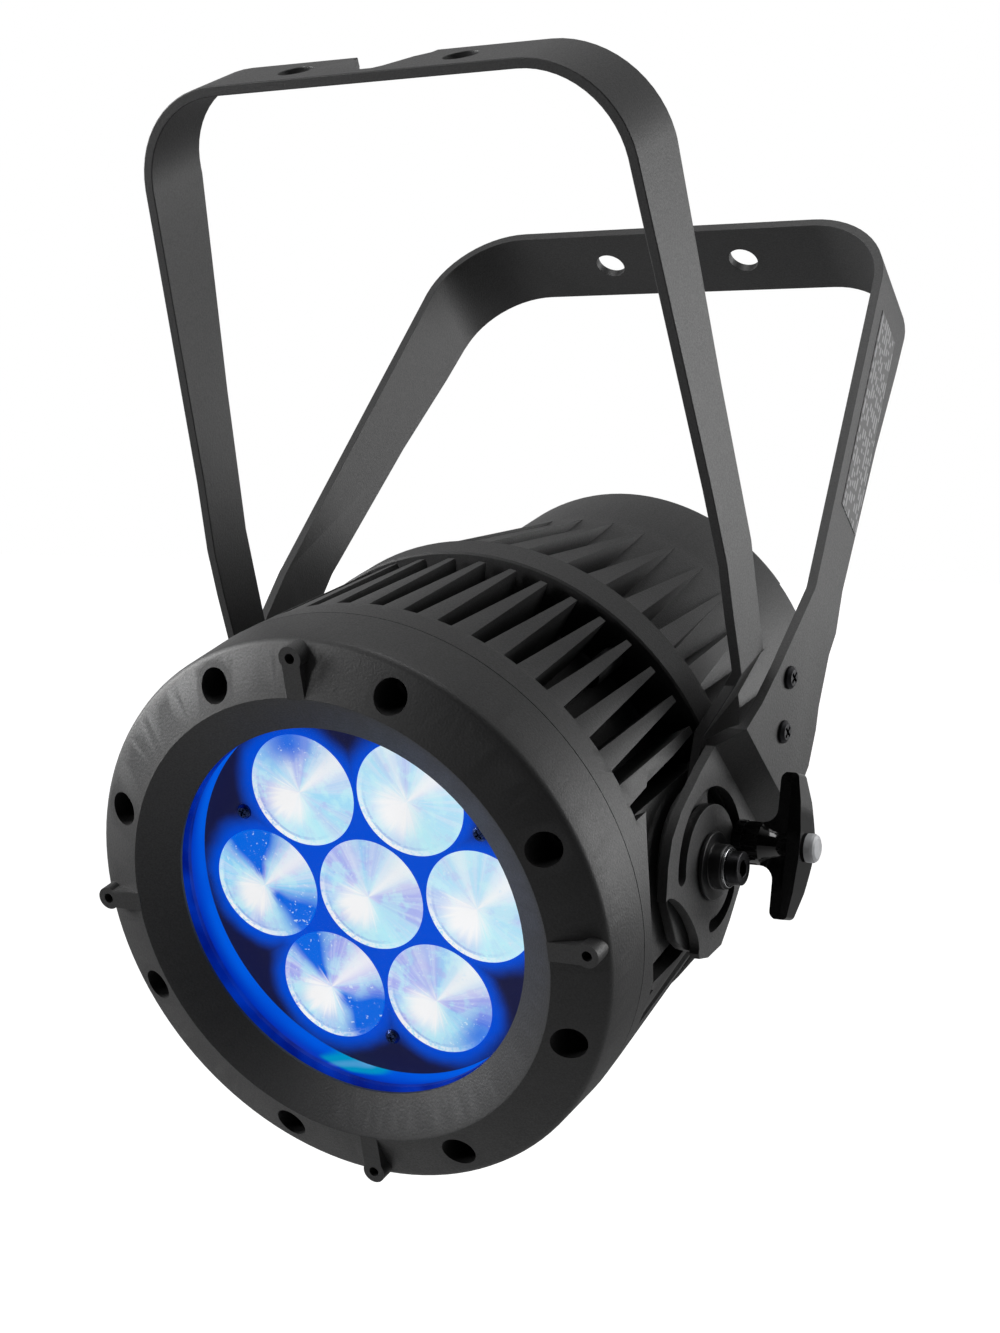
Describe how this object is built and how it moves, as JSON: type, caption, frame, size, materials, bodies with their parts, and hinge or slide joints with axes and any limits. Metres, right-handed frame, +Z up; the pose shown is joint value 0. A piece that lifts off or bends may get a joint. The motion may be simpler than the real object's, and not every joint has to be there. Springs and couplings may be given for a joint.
{
  "type": "par can light",
  "caption": "Round zoom par can stage light with a finned cast housing, a multi-lens front and two nested tilting yokes.",
  "frame": {"origin": "centre of the outer yoke's middle clamp hole, on the outer face of the yoke's top, from which the lamp hangs", "axes": "+Z up, -Y towards the lamp's front (which points 15 degrees down), +X along the pivot axis to the lamp's left when facing its front from outside"},
  "size_m": [0.288, 0.3463, 0.4291],
  "materials": {
    "yoke_paint": "fine textured matte powder coat",
    "black_screw": "black oxide",
    "label": "printed film, blank",
    "friction_disc": "fibre friction disc",
    "cast_paint": "matte powder coat on cast aluminium",
    "window": "clear toughened glass",
    "seal_rubber": "silicone rubber",
    "pivot_bolt": "black oxide",
    "bush_plastic": "black nylon",
    "bright_steel": "polished",
    "barrel_blue": "satin, lit blue by the emitters",
    "led_board_mask": "dark solder mask",
    "led_blue": "lit emitters",
    "ground_steel": "ground",
    "motor_can": "black can",
    "carriage_plastic": "dark moulded",
    "lens_lit": "clear moulded acrylic, lit from behind",
    "nut_brass": "turned",
    "bush_bronze": "sintered bronze",
    "bright_screw": "zinc plated",
    "circuit_board": "green solder mask",
    "supply_case": "folded sheet",
    "panel_paint": "matte powder coat on aluminium plate",
    "display": "smoked window",
    "power_in_blue": "moulded",
    "power_out_grey": "moulded",
    "data_socket": "moulded",
    "button_cap": "moulded",
    "knob_gloss": "high gloss moulded",
    "nub_grey": "pale moulded plug"
  },
  "bodies": {
    "outer_yoke": {"outer_yoke": "yoke_paint", "yoke_nut_plates": "yoke_paint", "yoke_screws": "black_screw", "rating_label": "label"},
    "inner_yoke": {"inner_yoke": "yoke_paint", "inner_yoke_discs": "friction_disc"},
    "zoom_carriage": {"lens_plate": "carriage_plastic", "zoom_lenses": "lens_lit", "lead_nut": "nut_brass", "guide_bushes": "bush_bronze", "carriage_screws": "bright_screw"},
    "lead_screw": {"lead_screw": "ground_steel"},
    "knob_right": {"knob_right": "knob_gloss", "knob_right_stud": "bright_screw", "knob_right_washer": "bush_plastic", "knob_right_cap": "nub_grey"},
    "knob_left": {"knob_left": "knob_gloss", "knob_left_stud": "bright_screw", "knob_left_washer": "bush_plastic", "knob_left_cap": "nub_grey"},
    "button_menu": {"button_menu": "button_cap"},
    "button_down": {"button_down": "button_cap"},
    "button_up": {"button_up": "button_cap"},
    "button_enter": {"button_enter": "button_cap"},
    "lamp": {"front_bezel": "cast_paint", "bezel_screws": "black_screw", "window_glass": "window", "window_gasket": "seal_rubber", "front_housing": "cast_paint", "pivot_bolts": "pivot_bolt", "pivot_bushes": "bush_plastic", "pivot_washers": "bright_steel", "pad_discs": "friction_disc", "inner_barrel": "barrel_blue", "led_board": "led_board_mask", "led_emitters": "led_blue", "guide_rods": "ground_steel", "zoom_motor": "motor_can", "housing_seal": "seal_rubber", "rear_cover": "cast_paint", "rear_cover_screws": "black_screw", "driver_board": "circuit_board", "power_supply": "supply_case", "board_pillars": "bright_screw", "control_board": "circuit_board", "rear_panel": "panel_paint", "panel_seal": "seal_rubber", "panel_screws": "bright_screw", "display_window": "display", "power_inlet": "power_in_blue", "power_outlet": "power_out_grey", "data_inlet": "data_socket", "data_outlet": "data_socket", "socket_contacts": "nut_brass", "vent_plug": "bush_plastic", "safety_eye": "bright_steel"}
  },
  "joints": [
    {"name": "lamp_tilt", "type": "hinge", "parent": "outer_yoke", "child": "lamp", "pos_m": [0, -0.20891, -0.24896], "axis": [1, 0, 0], "range_deg": [-5, 165]},
    {"name": "inner_yoke_tilt", "type": "hinge", "parent": "lamp", "child": "inner_yoke", "pos_m": [0, -0.20891, -0.24896], "axis": [1, 0, 0], "range_deg": [-52, 56]},
    {"name": "zoom_slide", "type": "slide", "parent": "lamp", "child": "zoom_carriage", "axis": [0, 0.9659, 0.2588], "range_m": [-0.006, 0.012]},
    {"name": "lead_screw_turn", "type": "hinge", "parent": "lamp", "child": "lead_screw", "pos_m": [0, -0.20004, -0.30136], "axis": [0, 0.9659, 0.2588], "range_deg": [-270, 540]},
    {"name": "knob_right_turn", "type": "hinge", "parent": "lamp", "child": "knob_right", "pos_m": [0.12, -0.1824, -0.24381], "axis": [1, 0, 0], "range_deg": [0, 360]},
    {"name": "knob_left_turn", "type": "hinge", "parent": "lamp", "child": "knob_left", "pos_m": [-0.12, -0.1824, -0.24381], "axis": [-1, 0, 0], "range_deg": [0, 360]},
    {"name": "press_menu", "type": "slide", "parent": "lamp", "child": "button_menu", "axis": [0, 0.9659, 0.2588], "range_m": [-0.001, 0], "stiffness_N_per_m": 300, "springref_m": 0.001},
    {"name": "press_down", "type": "slide", "parent": "lamp", "child": "button_down", "axis": [0, 0.9659, 0.2588], "range_m": [-0.001, 0], "stiffness_N_per_m": 300, "springref_m": 0.001},
    {"name": "press_up", "type": "slide", "parent": "lamp", "child": "button_up", "axis": [0, 0.9659, 0.2588], "range_m": [-0.001, 0], "stiffness_N_per_m": 300, "springref_m": 0.001},
    {"name": "press_enter", "type": "slide", "parent": "lamp", "child": "button_enter", "axis": [0, 0.9659, 0.2588], "range_m": [-0.001, 0], "stiffness_N_per_m": 300, "springref_m": 0.001}
  ],
  "couplings": [
    {"joint": "lead_screw_turn", "follows": "zoom_slide", "rad_per_m": 785.4}
  ]
}
